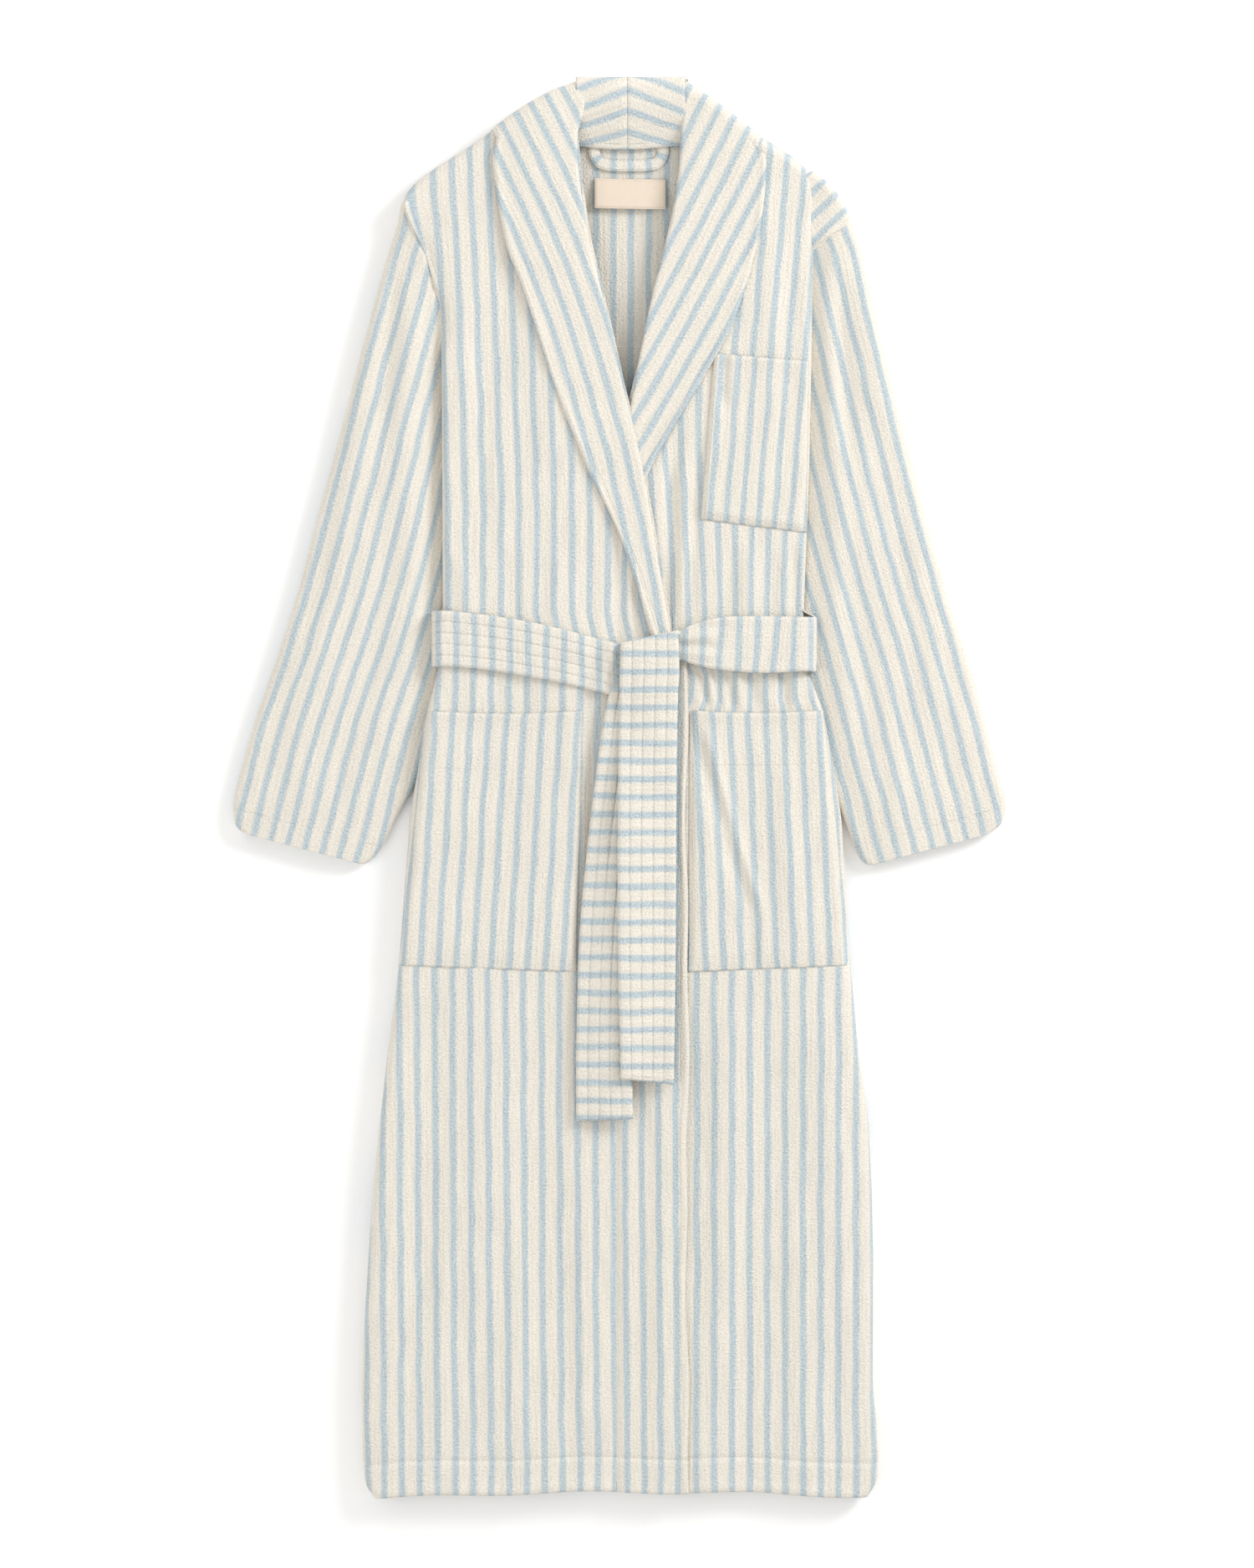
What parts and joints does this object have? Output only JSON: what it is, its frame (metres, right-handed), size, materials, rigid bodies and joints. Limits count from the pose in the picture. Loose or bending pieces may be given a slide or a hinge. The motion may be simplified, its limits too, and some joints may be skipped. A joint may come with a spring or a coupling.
{
  "type": "bathrobe",
  "caption": "Striped terry bathrobe laid flat on its back, shawl collar, three patch pockets, belt tied in a half knot.",
  "frame": {"origin": "middle of the bounding box, at the floor that the back lies on", "axes": "+Y runs up the robe to the collar, +Z out of the front, +X to the wearer's left"},
  "size_m": [0.6948, 1.276, 0.0438],
  "materials": {
    "striped_terry": "sheared terry velour, cream with pale blue stripes",
    "belt_terry": "double terry, sewn in five channels, stripes across",
    "label_cotton": "plain woven cotton tape"
  },
  "bodies": {
    "robe": {"back_panel": "striped_terry", "right_front_panel": "striped_terry", "left_front_panel": "striped_terry", "right_front_band": "striped_terry", "left_front_band": "striped_terry", "left_lapel_foot": "striped_terry", "right_back_collar": "striped_terry", "left_back_collar": "striped_terry", "chest_pocket": "striped_terry", "right_hip_pocket": "striped_terry", "left_hip_pocket": "striped_terry", "belt_waistband": "belt_terry", "belt_knot": "belt_terry", "right_belt_loop": "striped_terry", "left_belt_loop": "striped_terry", "neck_label": "label_cotton"},
    "right_sleeve": {"right_sleeve": "striped_terry"},
    "left_sleeve": {"left_sleeve": "striped_terry"},
    "right_lapel": {"right_lapel": "striped_terry"},
    "left_lapel": {"left_lapel": "striped_terry"},
    "front_corner": {"right_front_corner": "striped_terry", "right_band_corner": "striped_terry"},
    "upper_tail": {"upper_belt_tail": "belt_terry"},
    "lower_tail": {"lower_belt_tail": "belt_terry"},
    "hanger": {"hanging_loop": "striped_terry"}
  },
  "joints": [
    {"name": "right_sleeve_swing", "type": "hinge", "parent": "robe", "child": "right_sleeve", "pos_m": [-0.19523, 0.524, 0.009], "axis": [0, 0, -1], "range_deg": [0, 45]},
    {"name": "left_sleeve_swing", "type": "hinge", "parent": "robe", "child": "left_sleeve", "pos_m": [0.20477, 0.524, 0.009], "axis": [0, 0, 1], "range_deg": [0, 45]},
    {"name": "right_lapel_turn", "type": "hinge", "parent": "robe", "child": "right_lapel", "pos_m": [-0.04023, 0.58, 0.02295], "axis": [-0.1931, 0.9812, 0], "range_deg": [0, 80]},
    {"name": "left_lapel_turn", "type": "hinge", "parent": "robe", "child": "left_lapel", "pos_m": [0.04977, 0.58, 0.01915], "axis": [-0.1931, -0.9812, 0], "range_deg": [0, 80]},
    {"name": "front_corner_turn", "type": "hinge", "parent": "robe", "child": "front_corner", "pos_m": [0.06027, -0.312, 0.023], "axis": [-0.5114, -0.8593, 0], "range_deg": [0, 150]},
    {"name": "upper_tail_swing", "type": "hinge", "parent": "robe", "child": "upper_tail", "pos_m": [0.02477, 0.1118, 0.0363], "axis": [0, 0, 1], "range_deg": [-12, 12]},
    {"name": "lower_tail_swing", "type": "hinge", "parent": "robe", "child": "lower_tail", "pos_m": [0.02477, 0.1118, 0.0313], "axis": [0, 0, 1], "range_deg": [-12, 12]},
    {"name": "hanger_lift", "type": "hinge", "parent": "robe", "child": "hanger", "pos_m": [0.00877, 0.579, 0.0115], "axis": [-1, 0, 0], "range_deg": [0, 150]}
  ]
}
